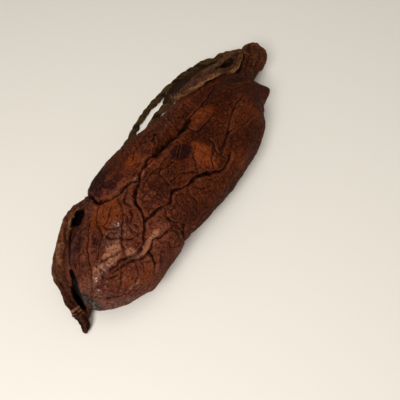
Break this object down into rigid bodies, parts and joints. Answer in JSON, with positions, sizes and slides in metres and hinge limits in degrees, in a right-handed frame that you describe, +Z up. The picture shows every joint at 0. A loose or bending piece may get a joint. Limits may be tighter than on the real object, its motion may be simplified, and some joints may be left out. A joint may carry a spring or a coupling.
{
  "type": "dried chorizo",
  "caption": "Thick dried smoked sausage in wrinkled natural casing, with a knotted neck, a twisted tail, a dried gut strip and a loop of hanging twine.",
  "frame": {"origin": "under the middle of the sausage and its gut strip, on the surface they lie on", "axes": "+X from the twisted tail to the knotted neck, +Y towards the side with the hanging twine, +Z up"},
  "size_m": [0.2294, 0.093, 0.0524],
  "materials": {
    "casing": "shrunken smoked casing with a dull fatty gloss",
    "dried_gut": "thin dry gut, satin",
    "twine": "smoked twisted cotton twine, matt"
  },
  "bodies": {
    "root": {"sausage": "casing", "gut_strip": "dried_gut", "hanging_twine": "twine"}
  },
  "joints": []
}
